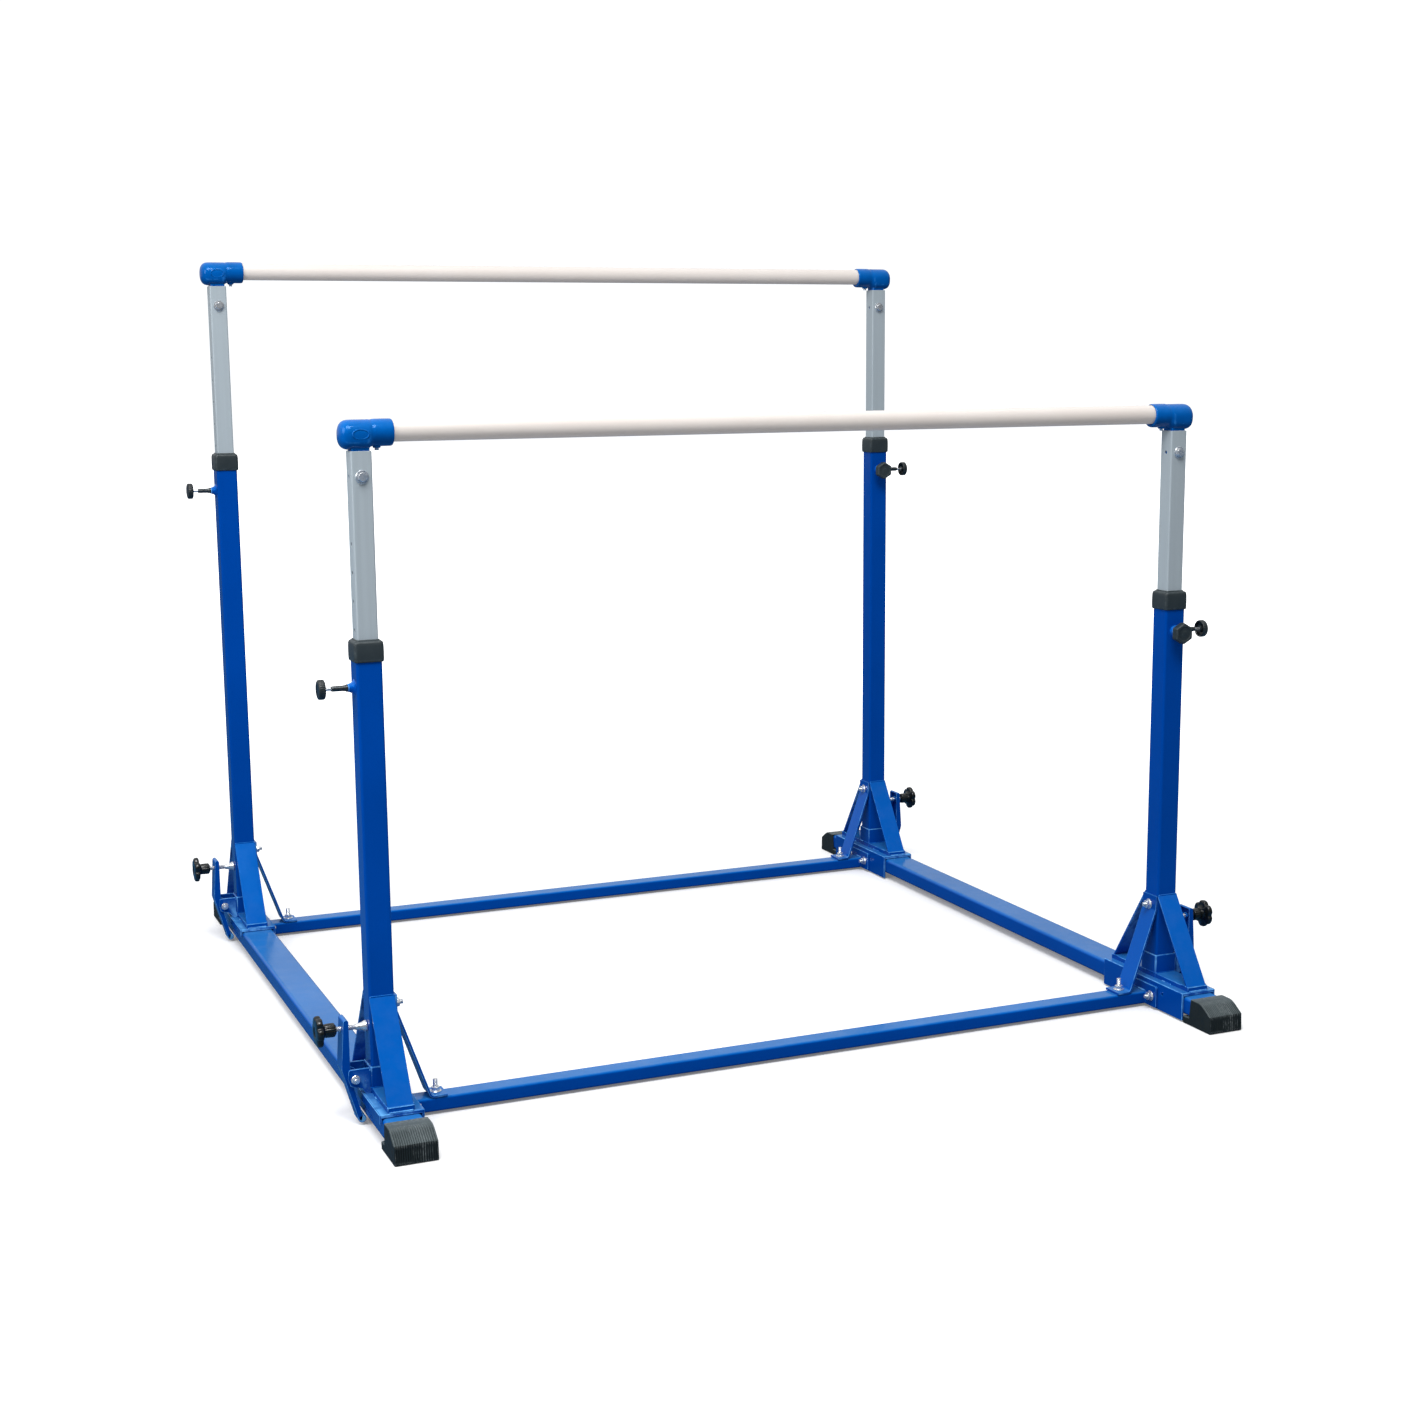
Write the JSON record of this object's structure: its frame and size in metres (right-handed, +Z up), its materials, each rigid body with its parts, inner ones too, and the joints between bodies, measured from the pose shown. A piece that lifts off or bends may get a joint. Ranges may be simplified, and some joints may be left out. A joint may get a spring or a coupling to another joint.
{
  "type": "parallel bars",
  "caption": "Junior gymnastics bars of unequal height on telescopic square uprights, whose towers slide and clamp along floor beams joined by cross rails.",
  "frame": {"origin": "on the floor, at the middle of the base", "axes": "+X along the bars, +Y from the low bar to the high bar, +Z up"},
  "size_m": [2.052, 1.905, 1.6947],
  "materials": {
    "blue_paint": "glossy blue powder coat on steel",
    "grey_metal": "satin silver-grey coat on steel",
    "slate_plastic": "fine-grained dark slate moulding",
    "black_plastic": "glossy black moulding",
    "foot_rubber": "matt dark grey ribbed rubber",
    "bar_coating": "smooth satin warm off-white",
    "blue_moulding": "glossy blue moulding",
    "zinc": "bright zinc-plated fasteners and screws"
  },
  "bodies": {
    "base": {"base_beam_left": "blue_paint", "base_beam_right": "blue_paint", "foot_front_left": "foot_rubber", "foot_front_right": "foot_rubber", "foot_rear_left": "foot_rubber", "foot_rear_right": "foot_rubber"},
    "front_frame": {"saddle_front_left": "blue_paint", "saddle_front_right": "blue_paint", "upright_front_left": "blue_paint", "upright_front_right": "blue_paint", "guide_collar_front_left": "slate_plastic", "guide_collar_front_right": "slate_plastic", "brace_front_left": "blue_paint", "brace_front_right": "blue_paint", "cross_rail_front": "blue_paint", "lever_pivot_front_left": "zinc", "lever_pivot_front_right": "zinc"},
    "rear_frame": {"saddle_rear_left": "blue_paint", "saddle_rear_right": "blue_paint", "upright_rear_left": "blue_paint", "upright_rear_right": "blue_paint", "guide_collar_rear_left": "slate_plastic", "guide_collar_rear_right": "slate_plastic", "brace_rear_left": "blue_paint", "brace_rear_right": "blue_paint", "cross_rail_rear": "blue_paint", "lever_pivot_rear_left": "zinc", "lever_pivot_rear_right": "zinc"},
    "front_bar_unit": {"bar_front": "bar_coating", "bar_holder_front_left": "blue_moulding", "bar_holder_front_right": "blue_moulding", "inner_post_front_left": "grey_metal", "inner_post_front_right": "grey_metal", "holder_bolt_front_left": "zinc", "holder_bolt_front_right": "zinc"},
    "rear_bar_unit": {"bar_rear": "bar_coating", "bar_holder_rear_left": "blue_moulding", "bar_holder_rear_right": "blue_moulding", "inner_post_rear_left": "grey_metal", "inner_post_rear_right": "grey_metal", "holder_bolt_rear_left": "zinc", "holder_bolt_rear_right": "zinc"},
    "pin_front_left": {"pull_pin_front_left": "slate_plastic"},
    "pin_front_right": {"pull_pin_front_right": "slate_plastic"},
    "pin_rear_left": {"pull_pin_rear_left": "slate_plastic"},
    "pin_rear_right": {"pull_pin_rear_right": "slate_plastic"},
    "height_clamp_front": {"clamp_knob_front": "slate_plastic"},
    "height_clamp_rear": {"clamp_knob_rear": "slate_plastic"},
    "lever_front_left": {"clamp_lever_front_left": "blue_paint"},
    "lever_front_right": {"clamp_lever_front_right": "blue_paint"},
    "lever_rear_left": {"clamp_lever_rear_left": "blue_paint"},
    "lever_rear_right": {"clamp_lever_rear_right": "blue_paint"},
    "screw_front_left": {"clamp_screw_front_left": "zinc"},
    "screw_front_right": {"clamp_screw_front_right": "zinc"},
    "screw_rear_left": {"clamp_screw_rear_left": "zinc"},
    "screw_rear_right": {"clamp_screw_rear_right": "zinc"},
    "knob_front_left": {"star_knob_front_left": "black_plastic"},
    "knob_front_right": {"star_knob_front_right": "black_plastic"},
    "knob_rear_left": {"star_knob_rear_left": "black_plastic"},
    "knob_rear_right": {"star_knob_rear_right": "black_plastic"}
  },
  "joints": [
    {"name": "front_frame_slide", "type": "slide", "parent": "base", "child": "front_frame", "axis": [0, 1, 0], "range_m": [0, 0.45]},
    {"name": "rear_frame_slide", "type": "slide", "parent": "base", "child": "rear_frame", "axis": [0, 1, 0], "range_m": [-0.45, 0]},
    {"name": "front_bar_height", "type": "slide", "parent": "front_frame", "child": "front_bar_unit", "axis": [0, 0, 1], "range_m": [-0.2675, 0.214]},
    {"name": "rear_bar_height", "type": "slide", "parent": "rear_frame", "child": "rear_bar_unit", "axis": [0, 0, 1], "range_m": [-0.321, 0.1605]},
    {"name": "pin_pull_front_left", "type": "slide", "parent": "front_frame", "child": "pin_front_left", "axis": [-1, 0, 0], "range_m": [0, 0.01], "stiffness_N_per_m": 600, "springref_m": -0.01},
    {"name": "pin_pull_front_right", "type": "slide", "parent": "front_frame", "child": "pin_front_right", "axis": [1, 0, 0], "range_m": [0, 0.01], "stiffness_N_per_m": 600, "springref_m": -0.01},
    {"name": "pin_pull_rear_left", "type": "slide", "parent": "rear_frame", "child": "pin_rear_left", "axis": [-1, 0, 0], "range_m": [0, 0.01], "stiffness_N_per_m": 600, "springref_m": -0.01},
    {"name": "pin_pull_rear_right", "type": "slide", "parent": "rear_frame", "child": "pin_rear_right", "axis": [1, 0, 0], "range_m": [0, 0.01], "stiffness_N_per_m": 600, "springref_m": -0.01},
    {"name": "height_clamp_turn_front", "type": "hinge", "parent": "front_frame", "child": "height_clamp_front", "pos_m": [0.9, -0.7, 0.85], "axis": [0, -1, 0], "range_deg": [0, 720]},
    {"name": "height_clamp_turn_rear", "type": "hinge", "parent": "rear_frame", "child": "height_clamp_rear", "pos_m": [0.9, 0.7, 1.142], "axis": [0, -1, 0], "range_deg": [0, 720]},
    {"name": "lever_open_front_left", "type": "hinge", "parent": "front_frame", "child": "lever_front_left", "pos_m": [-0.957, -0.7, 0.096], "axis": [0, 1, 0], "range_deg": [0, 2.25]},
    {"name": "lever_open_front_right", "type": "hinge", "parent": "front_frame", "child": "lever_front_right", "pos_m": [0.957, -0.7, 0.096], "axis": [0, -1, 0], "range_deg": [0, 2.25]},
    {"name": "lever_open_rear_left", "type": "hinge", "parent": "rear_frame", "child": "lever_rear_left", "pos_m": [-0.957, 0.7, 0.096], "axis": [0, 1, 0], "range_deg": [0, 2.25]},
    {"name": "lever_open_rear_right", "type": "hinge", "parent": "rear_frame", "child": "lever_rear_right", "pos_m": [0.957, 0.7, 0.096], "axis": [0, -1, 0], "range_deg": [0, 2.25]},
    {"name": "screw_advance_front_left", "type": "slide", "parent": "lever_front_left", "child": "screw_front_left", "axis": [-1, 0, 0], "range_m": [0, 0.0045]},
    {"name": "screw_advance_front_right", "type": "slide", "parent": "lever_front_right", "child": "screw_front_right", "axis": [1, 0, 0], "range_m": [0, 0.0045]},
    {"name": "screw_advance_rear_left", "type": "slide", "parent": "lever_rear_left", "child": "screw_rear_left", "axis": [-1, 0, 0], "range_m": [0, 0.0045]},
    {"name": "screw_advance_rear_right", "type": "slide", "parent": "lever_rear_right", "child": "screw_rear_right", "axis": [1, 0, 0], "range_m": [0, 0.0045]},
    {"name": "knob_turn_front_left", "type": "hinge", "parent": "screw_front_left", "child": "knob_front_left", "pos_m": [-1, -0.7, 0.192], "axis": [-1, 0, 0], "range_deg": [0, 1080]},
    {"name": "knob_turn_front_right", "type": "hinge", "parent": "screw_front_right", "child": "knob_front_right", "pos_m": [1, -0.7, 0.192], "axis": [1, 0, 0], "range_deg": [0, 1080]},
    {"name": "knob_turn_rear_left", "type": "hinge", "parent": "screw_rear_left", "child": "knob_rear_left", "pos_m": [-1, 0.7, 0.192], "axis": [-1, 0, 0], "range_deg": [0, 1080]},
    {"name": "knob_turn_rear_right", "type": "hinge", "parent": "screw_rear_right", "child": "knob_rear_right", "pos_m": [1, 0.7, 0.192], "axis": [1, 0, 0], "range_deg": [0, 1080]}
  ],
  "couplings": [
    {"joint": "lever_open_front_left", "follows": "knob_turn_front_left", "ratio": 0.002083},
    {"joint": "lever_open_front_right", "follows": "knob_turn_front_right", "ratio": 0.002083},
    {"joint": "lever_open_rear_left", "follows": "knob_turn_rear_left", "ratio": 0.002083},
    {"joint": "lever_open_rear_right", "follows": "knob_turn_rear_right", "ratio": 0.002083},
    {"joint": "screw_advance_front_left", "follows": "knob_turn_front_left", "m_per_rad": 0.0002387},
    {"joint": "screw_advance_front_right", "follows": "knob_turn_front_right", "m_per_rad": 0.0002387},
    {"joint": "screw_advance_rear_left", "follows": "knob_turn_rear_left", "m_per_rad": 0.0002387},
    {"joint": "screw_advance_rear_right", "follows": "knob_turn_rear_right", "m_per_rad": 0.0002387}
  ]
}
